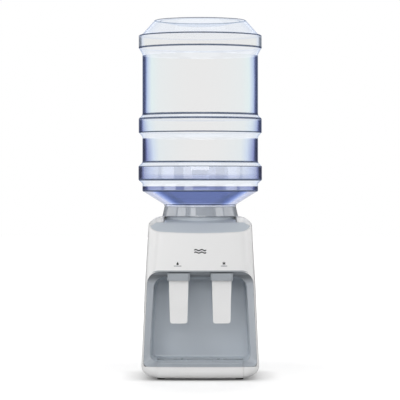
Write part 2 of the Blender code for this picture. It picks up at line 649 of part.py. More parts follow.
def build_water_circuit():
    """Reservoir under the neck, baffle, cooled tank behind the bay, pipes and hoses."""
    inner = TANK_RADIUS - 0.002
    tank = turned("water_tank", ((0.0, TANK_LOW + 0.002), (inner, TANK_LOW + 0.002), (inner, TANK_HIGH),
                                 (TANK_RADIUS + 0.0025, TANK_HIGH), (TANK_RADIUS + 0.0025, TANK_HIGH - 0.002),
                                 (TANK_RADIUS, TANK_HIGH - 0.002), (TANK_RADIUS, TANK_LOW), (0.0, TANK_LOW)),
                  WHITE_PLASTIC, steps=32, closed=False)
    join(tank, rod("ambient_outlet", (-TAP_X, -0.004, 0.238), (-TAP_X, -0.004, TANK_LOW + 0.001), 0.0050, segments=16))
    cut(tank, rod("ambient_outlet_bore", (-TAP_X, -0.004, 0.230), (-TAP_X, -0.004, 0.260), 0.0035, segments=16))
    cut(tank, rod("cold_inlet_bore", (0, COLD_Y, 0.24), (0, COLD_Y, 0.26), 0.0060, segments=20))
    turned("tank_separator", ((0.0660, 0.2740), (0.0660, 0.2720), (0.0120, 0.2720), (0.0120, 0.2740)),
           WHITE_PLASTIC, steps=32)
    turned("transfer_tube", ((0.0080, TANK_LOW - GAP), (0.0080, COLD_HIGH + GAP), (0.0060, COLD_HIGH + GAP),
                             (0.0060, TANK_LOW - GAP)), CLEAR_HOSE, steps=20, centre=(0, COLD_Y, 0))

    cold = turned("cold_tank", ((0.0060, COLD_HIGH), (COLD_RADIUS - 0.003, COLD_HIGH), (COLD_RADIUS, COLD_HIGH - 0.003),
                                (COLD_RADIUS, COLD_LOW + 0.003), (COLD_RADIUS - 0.003, COLD_LOW), (0.0060, COLD_LOW),
                                (0.0060, COLD_LOW + 0.001), (COLD_RADIUS - 0.0035, COLD_LOW + 0.001),
                                (COLD_RADIUS - 0.001, COLD_LOW + 0.0035), (COLD_RADIUS - 0.001, COLD_HIGH - 0.0035),
                                (COLD_RADIUS - 0.0035, COLD_HIGH - 0.001), (0.0060, COLD_HIGH - 0.001)),
                  STEEL_SHEET, steps=24, centre=(0, COLD_Y, 0))
    outlet_y = COLD_Y - COLD_RADIUS
    join(cold, rod("cold_outlet", (0, outlet_y + 0.0008, 0.135), (0, -0.006, 0.135), 0.0050, segments=16))
    cut(cold, rod("cold_outlet_bore", (0, outlet_y + 0.006, 0.135), (0, -0.010, 0.135), 0.0035, segments=16))
    foam = box("tank_insulation", (-0.056, 0.004, 0.105), (0.056, 0.092, 0.224), FOAM, bevel=0.004)
    cut(foam, rod("insulation_pocket", (0, COLD_Y, COLD_LOW - GAP), (0, COLD_Y, 0.30), COLD_RADIUS + GAP, segments=32))
    cut(foam, rod("outlet_passage", (0, 0.03, 0.135), (0, -0.02, 0.135), 0.0055, segments=16))
    turned("drain_plug", ((0.0, COLD_LOW + 0.0010), (0.0055, COLD_LOW + 0.0010), (0.0055, COLD_LOW - 0.0050),
                          (0.0, COLD_LOW - 0.0050)), SOFT_RUBBER, steps=16, centre=(0, COLD_Y, 0), closed=False)
    cut(foam, rod("drain_passage", (0, COLD_Y, 0.09), (0, COLD_Y, 0.13), 0.0060, segments=20))
    turned("temperature_sensor", ((0.0, 0.2400), (0.0030, 0.2400), (0.0036, 0.2300), (0.0036, COLD_HIGH + GAP),
                                  (0.0, COLD_HIGH + GAP)),
           DARK_PLASTIC, steps=16, centre=(0.024, COLD_Y, 0), closed=False)

    stand = box("tank_stand", (-0.060, 0.000, 0.1010), (0.060, 0.096, 0.1047), STEEL_SHEET)
    legs = [((x - 0.004, y - 0.004, 0.0083), (x + 0.004, y + 0.004, 0.1020)) for x in (-0.056, 0.056)
            for y in (0.004, 0.092)]
    join(stand, boxes("stand_legs", legs))
    cut(stand, rod("stand_hole", (0, COLD_Y, 0.09), (0, COLD_Y, 0.12), 0.0100, segments=20))

    tube("ambient_hose", smooth_route([(-TAP_X, -0.0117, TAP_Z), (-TAP_X, -0.0090, TAP_Z),
                                       (-TAP_X, -0.0050, 0.2120), (-TAP_X, -0.0040, 0.2180),
                                       (-TAP_X, -0.0040, 0.2340), (-TAP_X, -0.0040, 0.2377)]), 0.0046, CLEAR_HOSE)
    tube("cold_hose", smooth_route([(TAP_X, -0.0117, TAP_Z), (TAP_X, -0.0090, TAP_Z), (TAP_X, -0.0058, 0.2050),
                                    (TAP_X, -0.0055, 0.1980), (0.0440, -0.0060, 0.1700), (0.0300, -0.0080, 0.1460),
                                    (0.0120, -0.0135, 0.1360), (0.0030, -0.0150, 0.1350), (0.0, -0.0105, 0.1350),
                                    (0.0, -0.0063, 0.1350)]), 0.0046, CLEAR_HOSE)


def build_cooler():
    """Aluminium block, thermoelectric module, finned sink and fan, one behind the other."""
    z = COOLER_Z
    box("cold_block", (-0.020, COLD_Y + COLD_RADIUS + 0.0006, z - 0.020), (0.020, 0.1070, z + 0.020), ALUMINIUM)
    box("cooling_module", (-0.020, 0.1073, z - 0.020), (0.020, 0.1113, z + 0.020), CERAMIC)
    sink = box("heat_sink", (-0.040, 0.1116, z - 0.040), (0.040, 0.1160, z + 0.040), ALUMINIUM)
    fins = [((-0.0395 + 0.0087 * k, 0.1150, z - 0.0395), (-0.0382 + 0.0087 * k, 0.1298, z + 0.0395)) for k in range(10)]
    join(sink, boxes("sink_fins", fins))
    frame = box("fan_frame", (-0.040, 0.1302, z - 0.040), (0.040, 0.1422, z + 0.040), DARK_PLASTIC)
    cut(frame, rod("fan_throat", (0, 0.12, z), (0, 0.15, z), 0.0375, segments=32))
    spider = box("fan_spider_across", (-0.0390, 0.1400, z - 0.003), (0.0390, 0.1422, z + 0.003))
    join(spider, box("fan_spider_up", (-0.003, 0.1401, z - 0.0390), (0.003, 0.1421, z + 0.0390)))
    join(spider, rod("fan_motor_mount", (0, 0.1395, z), (0, 0.1422, z), 0.014, segments=24))
    join(frame, spider)
    rotor = rod("fan_rotor", (0, 0.1310, z), (0, 0.1392, z), 0.0130, DARK_PLASTIC, segments=24)
    for k in range(7):
        blade = box(f"fan_blade_{k}", (0.0110, -0.0006, -0.0036), (0.0355, 0.0006, 0.0036))
        pitch = Matrix.Rotation(math.radians(38), 4, "X")
        around = Matrix.Rotation(2 * math.pi * k / 7, 4, "Y")
        blade.data.transform(Matrix.Translation((0, 0.1351, z)) @ around @ Matrix.Rotation(math.pi / 2, 4, "X") @ pitch)
        join(rotor, blade)


def build_electrics():
    """Supply board on its posts, rocker switch in the rear cover, and the cable gland."""
    board = box("power_board", (-0.045, 0.030, 0.0400), (0.045, 0.085, 0.0416), BOARD)
    raised = [((-0.040, 0.036, 0.041), (-0.012, 0.064, 0.0620)), ((0.020, 0.036, 0.041), (0.038, 0.046, 0.0530)),
              ((0.020, 0.062, 0.041), (0.038, 0.080, 0.0500))]
    posts = [((x - 0.0025, y - 0.0025, 0.0083), (x + 0.0025, y + 0.0025, 0.0405)) for x in (-0.041, 0.041)
             for y in (0.034, 0.081)]
    join(board, boxes("board_components", raised), boxes("board_posts", posts))
    join(board, rod("board_capacitor", (0.006, 0.050, 0.041), (0.006, 0.050, 0.0660), 0.0070, segments=20))

    x, z = -0.050, 0.080
    housing = box("switch_housing", (x - 0.0110, 0.1250, z - 0.0100), (x + 0.0110, BACK, z + 0.0100), DARK_PLASTIC)
    join(housing, box("switch_flange", (x - 0.0130, BACK + GAP, z - 0.0120), (x + 0.0130, BACK + 0.0018, z + 0.0120)))
    join(housing, box("switch_throat", (x - 0.0109, BACK - 0.002, z - 0.0099), (x + 0.0109, BACK + 0.001, z + 0.0099)))
    cut(housing, box("switch_inside", (x - 0.0072, 0.1330, z - 0.0088), (x + 0.0072, 0.1600, z + 0.0088)))
    rocker = ((-0.0045, -0.0050), (0.0045, -0.0068), (0.0030, 0.0), (0.0062, 0.0068), (-0.0045, 0.0050))
    prism("power_switch", [(0.1440 + y, z + up) for y, up in rocker], x - 0.0066, x + 0.0066, "X", DARK_PLASTIC)

    turned("cable_gland", ((0.0110, 0.0030), (0.0120, 0.0018), (0.0120, GAP), (0.0080, GAP), (0.0080, -0.0060),
                           (0.0045, -0.0060), (0.0045, 0.0030)),
           DARK_PLASTIC, steps=24, centre=(0.055, BACK, 0.080), axis="Y")


def build_bottle():
    """Clear 20 litre bottle, standing on its shoulder with the open mouth down."""
    outside = [(0.0, 0.7815)] + list(BOTTLE_OUTLINE)
    inside = []
    for k in range(1, len(outside) - 1):
        before, here, after = Vector(outside[k - 1]), Vector(outside[k]), Vector(outside[k + 1])
        along = ((here - before).normalized() + (after - here).normalized()).normalized()
        inward = Vector((along.y, -along.x))
        if k <= 2:
            inward = Vector((0.0, -1.0))
        inside.append(tuple(here + inward * BOTTLE_WALL))
    mouth = outside[-1]
    inside.append((mouth[0] - BOTTLE_WALL, mouth[1]))
    inside.insert(0, (0.0, outside[0][1] - BOTTLE_WALL))
    profile = outside + inside[::-1]
    turned("bottle", profile, CLEAR_BLUE, steps=BOTTLE_STEPS, closed=False)


build_cabinet()
build_base()
build_tray()
build_bay()
build_tap("left", -TAP_X)
build_tap("right", TAP_X)
build_top()
build_water_circuit()
build_cooler()
build_electrics()
build_bottle()
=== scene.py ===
"""Looks of the countertop water dispenser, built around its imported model.

Metres, +Z up, front towards -Y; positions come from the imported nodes' own boxes."""
import json
import math

import bmesh
import bpy
from mathutils import Matrix, Vector
from mathutils.bvhtree import BVHTree


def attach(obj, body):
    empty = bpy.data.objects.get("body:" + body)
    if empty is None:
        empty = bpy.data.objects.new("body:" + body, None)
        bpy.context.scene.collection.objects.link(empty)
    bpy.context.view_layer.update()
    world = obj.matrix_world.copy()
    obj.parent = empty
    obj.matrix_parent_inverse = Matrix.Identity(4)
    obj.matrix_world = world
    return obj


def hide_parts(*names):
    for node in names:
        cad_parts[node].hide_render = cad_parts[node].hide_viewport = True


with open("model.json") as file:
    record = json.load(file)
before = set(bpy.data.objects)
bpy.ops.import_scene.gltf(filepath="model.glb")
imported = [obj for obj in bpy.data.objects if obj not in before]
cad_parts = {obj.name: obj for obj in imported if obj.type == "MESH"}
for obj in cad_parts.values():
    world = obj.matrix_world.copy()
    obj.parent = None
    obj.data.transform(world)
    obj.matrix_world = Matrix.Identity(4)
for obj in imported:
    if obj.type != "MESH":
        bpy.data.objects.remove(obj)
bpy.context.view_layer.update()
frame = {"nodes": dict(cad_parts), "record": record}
SCENE = bpy.context.scene

# ---------------------------------------------------------------- camera
EYE = Vector((-0.0005, -5.30, 0.427))
LENS = 213.3
TILT = 0.3626                    # degrees below level
camera = bpy.data.objects.new("camera", bpy.data.cameras.new("camera"))
camera.data.lens = LENS
camera.data.sensor_width = 36.0
camera.data.clip_end = 60.0
camera.location = EYE
camera.rotation_euler = (math.radians(90.0 - TILT), 0.0, 0.0)
SCENE.collection.objects.link(camera)
SCENE.camera = camera
SCENE.view_settings.view_transform = "Standard"

# ---------------------------------------------------------------- colours, linear
WHITE = (0.785, 0.785, 0.785)
GREY = (0.325, 0.352, 0.382)        # tap caps
COLLAR_GREY = (0.39, 0.418, 0.452)
# near white and bluish: painted highlight along the collar's rounded rim
COLLAR_RIM_HIGHLIGHT = (0.76, 0.80, 0.90)
APRON_GREY = (0.53, 0.575, 0.625)
# lighter than the apron's grey to make up for the bay's shade: painted light
BAY_GREY = (0.575, 0.624, 0.678)
INK = (0.012, 0.013, 0.016)
PALE_INK = (0.16, 0.17, 0.19)


# ---------------------------------------------------------------- materials
def node(nt, kind, inputs=(), **settings):
    """A shader node with its settings and inputs; an input may be a socket or a value."""
    made = nt.nodes.new("ShaderNode" + kind)
    for key, value in settings.items():
        setattr(made, key, value)
    for key, value in dict(inputs).items():
        if isinstance(value, bpy.types.NodeSocket):
            nt.links.new(value, made.inputs[key])
        else:
            made.inputs[key].default_value = value
    return made


def ramp(nt, factor, stops):
    """A colour ramp through (position, colour) stops."""
    made = node(nt, "ValToRGB", {"Fac": factor})
    points = made.color_ramp.elements
    while len(points) < len(stops):
        points.new(0.5)
    for point, (position, colour) in zip(points, stops):
        point.position = position
        point.color = (*colour, 1.0)
    return made.outputs["Color"]


def spread(nt, factor, low, high, start=0.3, stop=0.7):
    """A value running from low to high while the factor runs from start to stop."""
    span = {"Value": factor, "From Min": start, "From Max": stop, "To Min": low, "To Max": high}
    made = node(nt, "MapRange", span)
    return made.outputs["Result"]


def blend(nt, share, one, other):
    """Colour one where share is 0, the other where it is 1; each is a socket or three numbers."""
    one = one if isinstance(one, bpy.types.NodeSocket) else (*one, 1.0)
    other = other if isinstance(other, bpy.types.NodeSocket) else (*other, 1.0)
    return node(nt, "Mix", {0: share, 6: one, 7: other}, data_type="RGBA").outputs[2]


def noise(nt, where, scale, detail=3.0):
    return node(nt, "TexNoise", {"Vector": where, "Scale": scale, "Detail": detail}).outputs["Fac"]


def moulded(name, colour, roughness, grain=1100.0, depth=0.00004, metallic=0.0, uneven=0.03, stretch=None,
            shade=0.035, coat=0.0, coat_ior=1.5, coat_roughness=0.12):
    """Plastic, rubber or metal with a fine grain, slight clouding of its colour and an uneven gloss."""
    made = bpy.data.materials.new(name)
    made.use_nodes = True
    nt = made.node_tree
    shader = nt.nodes["Principled BSDF"]
    where = node(nt, "TexCoord").outputs["Object"]
    cloud = noise(nt, where, 8.0)
    if stretch:
        where = node(nt, "Mapping", {"Vector": where, "Scale": stretch}).outputs["Vector"]
    fine = noise(nt, where, grain, 4.0)
    darker = tuple(c * (1 - shade) for c in colour)
    nt.links.new(ramp(nt, cloud, [(0.3, darker), (0.7, colour)]), shader.inputs["Base Color"])
    both = node(nt, "Math", {0: spread(nt, cloud, roughness - uneven, roughness + uneven),
                             1: spread(nt, fine, -uneven, uneven)}, operation="ADD").outputs[0]
    nt.links.new(both, shader.inputs["Roughness"])
    bump = node(nt, "Bump", {"Height": fine, "Strength": 0.6, "Distance": depth})
    nt.links.new(bump.outputs["Normal"], shader.inputs["Normal"])
    shader.inputs["Metallic"].default_value = metallic
    shader.inputs["Coat Weight"].default_value = coat
    shader.inputs["Coat Roughness"].default_value = coat_roughness
    shader.inputs["Coat IOR"].default_value = coat_ior
    return made


def painted_rim_shade(made, rim_shade_stops, across, up, crease, depth):
    """The finish with painted shade towards the front, darker towards the rim's top edge.

    across is the span of Y over which it changes, up the span of Z that the rim's stops run over;
    the colour is deeper by depth in the crease, a span of Y: a painted shadow line."""
    nt = made.node_tree
    shader = nt.nodes["Principled BSDF"]
    plain = shader.inputs["Base Color"].links[0].from_socket
    where = node(nt, "SeparateXYZ", {"Vector": node(nt, "TexCoord").outputs["Object"]})
    front = spread(nt, where.outputs["Y"], 1.0, 0.0, *across)
    # painted shade: the rim's colour follows its stops by height, darker where the rim faces down
    rim_shade_tone = ramp(nt, spread(nt, where.outputs["Z"], 0.0, 1.0, *up), rim_shade_stops)
    mixed = blend(nt, front, plain, rim_shade_tone)
    # painted shadow line: the colour darkens by depth across the crease
    middle = (crease[0] + crease[1]) / 2
    into = spread(nt, where.outputs["Y"], 0.0, depth, crease[0], middle)
    out = spread(nt, where.outputs["Y"], depth, 0.0, middle, crease[1])
    line = node(nt, "Math", {0: into, 1: out}, operation="MINIMUM").outputs[0]
    nt.links.new(blend(nt, line, mixed, (0.0, 0.0, 0.0)), shader.inputs["Base Color"])
    return made


def beaded_foam(name, colour):
    made = bpy.data.materials.new(name)
    made.use_nodes = True
    nt = made.node_tree
    shader = nt.nodes["Principled BSDF"]
    where = node(nt, "TexCoord").outputs["Object"]
    cells = node(nt, "TexVoronoi", {"Vector": where, "Scale": 260.0}).outputs["Distance"]
    between = tuple(c * 0.8 for c in colour)
    nt.links.new(ramp(nt, cells, [(0.2, colour), (0.8, between)]), shader.inputs["Base Color"])
    bump = node(nt, "Bump", {"Height": cells, "Strength": 0.7, "Distance": -0.0006})
    nt.links.new(bump.outputs["Normal"], shader.inputs["Normal"])
    shader.inputs["Roughness"].default_value = 0.85
    return made


def printed_board(name, colour):
    """Solder mask with copper tracks under it."""
    made = bpy.data.materials.new(name)
    made.use_nodes = True
    nt = made.node_tree
    shader = nt.nodes["Principled BSDF"]
    where = node(nt, "TexCoord").outputs["Object"]
    tracks = node(nt, "TexBrick", {"Vector": where, "Scale": 60.0, "Mortar Size": 0.012}).outputs["Fac"]
    copper = tuple(c * 1.9 for c in colour)
    nt.links.new(ramp(nt, tracks, [(0.4, colour), (0.6, copper)]), shader.inputs["Base Color"])
    bump = node(nt, "Bump", {"Height": tracks, "Strength": 0.4, "Distance": 0.0001})
    nt.links.new(bump.outputs["Normal"], shader.inputs["Normal"])
    shader.inputs["Roughness"].default_value = 0.35
    return made


# tint of one face of the clear wall, by how far the wall turns away from the eye: the plastic's own blue, with
# painted shade and reflection making it darker where the wall turns edge on
UPPER_WALL = (
    (0.00, (0.950, 0.950, 0.950)), (0.30, (0.945, 0.955, 0.957)), (0.47, (0.935, 0.962, 0.965)),
    (0.53, (0.905, 0.935, 0.965)), (0.60, (0.850, 0.890, 0.950)), (0.63, (0.825, 0.857, 0.934)),
    (0.675, (0.676, 0.713, 0.824)), (0.73, (0.520, 0.550, 0.660)), (1.00, (0.450, 0.480, 0.560)),
)
# bluer than UPPER_WALL, for the bottle's lower part: painted reflection
LOWER_WALL = (
    (0.00, (0.950, 0.950, 0.950)), (0.30, (0.935, 0.950, 0.957)), (0.42, (0.890, 0.920, 0.965)),
    (0.50, (0.825, 0.855, 0.930)), (0.55, (0.780, 0.812, 0.905)), (0.63, (0.707, 0.729, 0.852)),
    (0.675, (0.560, 0.585, 0.710)), (0.75, (0.450, 0.465, 0.550)), (1.00, (0.420, 0.430, 0.510)),
)
RING_WALL = (
    (0.00, (0.950, 0.950, 0.950)), (0.57, (0.945, 0.950, 0.950)), (0.65, (0.925, 0.940, 0.965)),
    (0.70, (0.885, 0.905, 0.940)), (0.745, (0.700, 0.720, 0.750)), (1.00, (0.620, 0.640, 0.680)),
)
# the band's lower half (LOW_BAND_WALL) is bluer face on than its upper half: painted reflection
LOW_BAND_WALL = (
    (0.00, (0.670, 0.710, 0.850)), (0.20, (0.700, 0.735, 0.865)), (0.60, (0.720, 0.750, 0.865)),
    (0.66, (0.700, 0.725, 0.820)), (0.70, (0.500, 0.510, 0.590)), (1.00, (0.430, 0.440, 0.510)),
)
HIGH_BAND_WALL = (
    (0.00, (0.845, 0.875, 0.955)), (0.20, (0.850, 0.875, 0.950)), (0.60, (0.770, 0.800, 0.890)),
    (0.66, (0.700, 0.725, 0.820)), (0.70, (0.500, 0.510, 0.590)), (1.00, (0.430, 0.440, 0.510)),
)
# blue even face on: painted reflection
FOOT_WALL = ((0.00, (0.480, 0.525, 0.720)), (0.60, (0.520, 0.560, 0.740)), (1.00, (0.430, 0.440, 0.510)))
# darker blue face on than at its flanks, where the neck behind shows through: painted shade
CONE_WALL = (
    (0.00, (0.615, 0.665, 0.820)), (0.50, (0.615, 0.660, 0.810)), (0.545, (0.585, 0.630, 0.760)),
    (0.576, (0.585, 0.640, 0.796)), (0.61, (0.655, 0.713, 0.877)), (0.653, (0.786, 0.834, 0.968)),
    (0.709, (0.867, 0.880, 0.938)), (1.00, (0.867, 0.874, 0.900)),
)
SLOPE_WALL = (
    (0.00, (0.960, 0.970, 0.985)), (0.55, (0.965, 0.975, 0.990)), (0.82, (0.930, 0.950, 0.985)),
    (0.94, (0.760, 0.795, 0.870)), (1.00, (0.640, 0.680, 0.780)),
)
DISH_WALL = ((0.00, (0.970, 0.978, 0.990)), (1.00, (0.955, 0.966, 0.985)))
# dark: painted shade along the bottle's creases
CREASE_WALL = ((0.00, (0.140, 0.170, 0.240)), (1.00, (0.140, 0.160, 0.230)))


def clear_wall(name, low_stops, high_stops=None, change=(0.5, 0.6), gloss=0.0, behind=None):
    """Clear plastic, blue where it is seen edge on, partly its own tint and partly painted shade and reflection;
    high_stops take over above the heights in change.
    """
    made = bpy.data.materials.new(name)
    made.use_nodes = True
    nt = made.node_tree
    nt.nodes.remove(nt.nodes["Principled BSDF"])
    where = node(nt, "TexCoord").outputs["Object"]
    facing = node(nt, "LayerWeight", {"Blend": 0.5}).outputs["Facing"]
    cloud = spread(nt, noise(nt, where, 14.0), -0.012, 0.012)
    facing = node(nt, "Math", {0: facing, 1: cloud}, operation="ADD").outputs[0]
    tint = ramp(nt, facing, low_stops)
    # painted reflection: the tint changes with height, from the stops below change to those above
    if high_stops:
        height = node(nt, "SeparateXYZ", {"Vector": where}).outputs["Z"]
        share = spread(nt, height, 0.0, 1.0, *change)
        tint = blend(nt, share, tint, ramp(nt, facing, high_stops))
    # painted shade: back faces take the behind tint, so crease lines stay darkest on the near side
    if behind:
        back = node(nt, "NewGeometry").outputs["Backfacing"]
        tint = blend(nt, back, tint, behind)
    shader = node(nt, "BsdfTransparent", {"Color": tint}).outputs[0]
    if gloss:
        ripple = noise(nt, where, 40.0, 2.0)
        bump = node(nt, "Bump", {"Height": ripple, "Strength": 0.12, "Distance": 0.0005}).outputs["Normal"]
        clear = {"Color": (1.0, 1.0, 1.0, 1.0), "Roughness": 0.04, "Normal": bump}
        shine = node(nt, "BsdfGlossy", clear).outputs[0]
        shader = node(nt, "MixShader", {0: gloss, 1: shader, 2: shine}).outputs[0]
    nt.links.new(shader, nt.nodes["Material Output"].inputs["Surface"])
    return made


FINISHES = {
    "white_plastic": moulded("white_plastic_finish", WHITE, 0.30, coat=0.25, shade=0.012),
    "grey_plastic": moulded("grey_plastic_finish", GREY, 0.42),
    "tank_plastic": moulded("tank_plastic_finish", (0.82, 0.84, 0.85), 0.35),
    "dark_plastic": moulded("dark_plastic_finish", (0.035, 0.035, 0.04), 0.45, depth=0.00008),
    "clear_blue": clear_wall("clear_blue_finish", LOWER_WALL, UPPER_WALL),
    "silicone_hose": moulded("silicone_hose_finish", (0.62, 0.64, 0.65), 0.40, depth=0.00002),
    "rubber": moulded("rubber_finish", (0.022, 0.022, 0.022), 0.75, depth=0.00010),
    "steel": moulded("steel_finish", (0.62, 0.62, 0.63), 0.27, grain=500.0, metallic=1.0,
                     stretch=(1.0, 1.0, 0.03)),
    "aluminium": moulded("aluminium_finish", (0.75, 0.76, 0.78), 0.36, grain=900.0, metallic=1.0,
                         stretch=(1.0, 1.0, 0.05)),
    "foam": beaded_foam("foam_finish", (0.82, 0.83, 0.82)),
    "ceramic": moulded("ceramic_finish", (0.80, 0.78, 0.74), 0.60, grain=2200.0, depth=0.00005),
    "circuit_board": printed_board("circuit_board_finish", (0.02, 0.14, 0.06)),
}
PALE_PLASTIC = moulded("pale_grey_finish", APRON_GREY, 0.42)
# painted shade on the bay's rim, from the mouth's middle up to its top edge, darker towards the top where the rim
# faces down
BAY_RIM_SHADE = (
    (0.0, (0.42, 0.453, 0.495)), (0.30, (0.39, 0.42, 0.46)), (0.60, (0.17, 0.183, 0.20)),
    (0.76, (0.15, 0.16, 0.175)), (0.81, (0.25, 0.27, 0.29)), (0.90, (0.24, 0.26, 0.28)),
    (1.0, (0.11, 0.12, 0.13)),
)
BAY_PLASTIC = painted_rim_shade(moulded("bay_finish", BAY_GREY, 0.42, coat=0.5, coat_roughness=0.08), BAY_RIM_SHADE,
                       across=(-0.1215, -0.1195), up=(0.200, 0.240), crease=(-0.1212, -0.1160), depth=0.6)
GLOSSY_GREY = moulded("glossy_grey_finish", COLLAR_GREY, 0.60, depth=0.00001, coat=1.0, coat_ior=1.9,
                      coat_roughness=0.03)
RIM_HIGHLIGHT = moulded("rim_highlight_finish", COLLAR_RIM_HIGHLIGHT, 0.25, depth=0.00001, coat=1.0)
PRINT = moulded("print_finish", INK, 0.5)
PALE_PRINT = moulded("pale_print_finish", PALE_INK, 0.5)


# ---------------------------------------------------------------- mesh helpers
def new_piece(name, bm, finish, body, sharp=35.0):
    bmesh.ops.recalc_face_normals(bm, faces=bm.faces)
    mesh = bpy.data.meshes.new(name)
    bm.to_mesh(mesh)
    bm.free()
    mesh.shade_smooth()
    mesh.set_sharp_from_angle(angle=math.radians(sharp))
    mesh.materials.append(finish)
    piece = bpy.data.objects.new(name, mesh)
    SCENE.collection.objects.link(piece)
    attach(piece, body)
    return piece


def offset(points, by):
    """The outline moved sideways by the wall."""
    moved = []
    for k, here in enumerate(points):
        before, after = points[max(k - 1, 0)], points[min(k + 1, len(points) - 1)]
        along = (after - before).normalized()
        moved.append(here + Vector((along.y, -along.x)) * by)
    return moved


def lathe(bm, profile, steps, closed=True):
    """Turns (radius, height) points round the Z axis; points on the axis become one vertex."""
    turns = [2 * math.pi * k / steps for k in range(steps)]
    rings = []
    for radius, height in profile:
        if radius < 1e-6:
            rings.append([bm.verts.new((0.0, 0.0, height))])
        else:
            rings.append([bm.verts.new((radius * math.cos(turn), radius * math.sin(turn), height)) for turn in turns])
    pairs = list(zip(rings, rings[1:]))
    if closed:
        pairs.append((rings[-1], rings[0]))
    for one, two in pairs:
        for k in range(steps):
            corners = [one[k % len(one)], one[(k + 1) % len(one)], two[(k + 1) % len(two)], two[k % len(two)]]
            corners = list(dict.fromkeys(corners))
            if len(corners) > 2:
                bm.faces.new(corners)


# ---------------------------------------------------------------- carried-over nodes
SOFT_EDGES = {
    "front_shell": 0.0016, "rear_hood": 0.0008, "base_pan": 0.0010, "drip_tray": 0.0010, "bay_liner": 0.0006,
    "top_cover": 0.0008, "left_tap_cap": 0.0008, "right_tap_cap": 0.0008, "left_lever": 0.0009,
    "right_lever": 0.0009,
}


def refine(name, width):
    """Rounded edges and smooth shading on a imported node."""
    piece = frame["nodes"][name]
    piece.data.shade_smooth()
    weld = piece.modifiers.new("weld", "WELD")
    weld.merge_threshold = 0.00002
    flat = piece.modifiers.new("flat", "DECIMATE")
    flat.decimate_type = "DISSOLVE"
    flat.angle_limit = math.radians(0.4)
    edge = piece.modifiers.new("edge", "BEVEL")
    edge.width = width
    edge.segments = 3
    edge.limit_method = "ANGLE"
    edge.angle_limit = math.radians(28.0)
    edge.miter_outer = "MITER_ARC"
    even = piece.modifiers.new("even", "WEIGHTED_NORMAL")
    even.keep_sharp = False
    return piece


for entry in frame["record"]["subparts"]:
    shown = frame["nodes"][entry["node"]]
    shown.data.materials.clear()
    shown.data.materials.append(FINISHES[entry["material_slot"]])
    shown.data.shade_smooth()
    shown.data.set_sharp_from_angle(angle=math.radians(35.0))
for name, width in SOFT_EDGES.items():
    refine(name, width)
for name, finish in (("top_cover", PALE_PLASTIC), ("bay_liner", BAY_PLASTIC), ("drip_grille", BAY_PLASTIC)):
    frame["nodes"][name].data.materials[0] = finish

# ---------------------------------------------------------------- bottle
BOTTLE_WALL = 0.0014
BOTTLE_STEPS = 144
BOTTLE_KINDS = ("wall", "ring", "band", "foot", "cone", "slope", "crease", "edge", "dish")
INNER_KINDS = {"band": "wall", "foot": "wall", "crease": "slope", "edge": "slope"}   # the rest stay the same inside
EDGE_Z = 0.790                      # creases above this height are edges of the base
# (radius, height, kind of the wall from here on, width of the crease here), from the base to the mouth
BOTTLE_OUTLINE = (
    (0.0, 0.7815, "dish", 0.0), (0.0500, 0.7840, "dish", 0.0), (0.0890, 0.7930, "dish", 0.0022),
    (0.1010, 0.7959, "slope", 0.0068), (0.1270, 0.7665, "slope", 0.0), (0.1305, 0.7632, "slope", 0.0),
    (0.1375, 0.7608, "ring", 0.0046), (0.1375, 0.7330, "slope", 0.0040), (0.1292, 0.7190, "wall", 0.0),
    (0.1292, 0.5840, "slope", 0.0052), (0.1375, 0.5750, "wall", 0.0048), (0.1375, 0.5443, "slope", 0.0030),
    (0.1292, 0.5345, "wall", 0.0), (0.1292, 0.4781, "slope", 0.0044), (0.1380, 0.4685, "band", 0.0020),
    (0.1380, 0.4384, "slope", 0.0048), (0.1292, 0.4300, "slope", 0.0), (0.1292, 0.4258, "foot", 0.0),
    (0.1292, 0.4135, "cone", 0.0044), (0.0817, 0.3840, "cone", 0.0022), (0.0340, 0.3565, "wall", 0.0),
    (0.0275, 0.3490, "wall", 0.0), (0.0275, 0.3250, "wall", 0.0), (0.0290, 0.3235, "wall", 0.0),
    (0.0290, 0.3170, "wall", 0.0), (0.0275, 0.3155, "wall", 0.0), (0.0275, 0.3102, "wall", 0.0),
)


def bottle_profile():
    """The outline with its corners rounded, and the kind of wall after each point."""
    points, kinds = [], []
    for k, (r, z, kind, crease) in enumerate(BOTTLE_OUTLINE):
        here = Vector((r, z))
        if k in (0, len(BOTTLE_OUTLINE) - 1):
            points.append(here)
            kinds.append(kind)
            continue
        back = Vector(BOTTLE_OUTLINE[k - 1][:2]) - here
        on = Vector(BOTTLE_OUTLINE[k + 1][:2]) - here
        reach = crease / 2 if crease else min(0.0035, back.length * 0.4, on.length * 0.4)
        start, end = here + back.normalized() * reach, here + on.normalized() * reach
        line = "edge" if z > EDGE_Z else "crease"
        for step in range(4):
            t = step / 3
            points.append(start * (1 - t) ** 2 + here * 2 * t * (1 - t) + end * t ** 2)
            kinds.append(kind if step == 3 else line if crease else BOTTLE_OUTLINE[k - 1][2])
    return points, kinds


def build_bottle():
    outside, kinds = bottle_profile()
    inside = offset(outside, BOTTLE_WALL)
    inside[0].x = 0.0
    inside[-1].y = outside[-1].y
    bm = bmesh.new()
    lathe(bm, outside + inside[::-1], BOTTLE_STEPS, closed=False)
    inner = [BOTTLE_KINDS.index(INNER_KINDS.get(kind, kind)) for kind in kinds]
    bands = [BOTTLE_KINDS.index(kind) for kind in kinds[:-1]] + [0] + inner[-2::-1]
    bm.faces.ensure_lookup_table()
    for k, face in enumerate(bm.faces):
        face.material_index = bands[k // BOTTLE_STEPS]
    bottle = new_piece("bottle_shell", bm, FINISHES["clear_blue"], "bottle", sharp=60.0)
    for kind in BOTTLE_KINDS[1:]:
        bottle.data.materials.append(CLEAR_KINDS[kind])
    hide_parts("bottle")


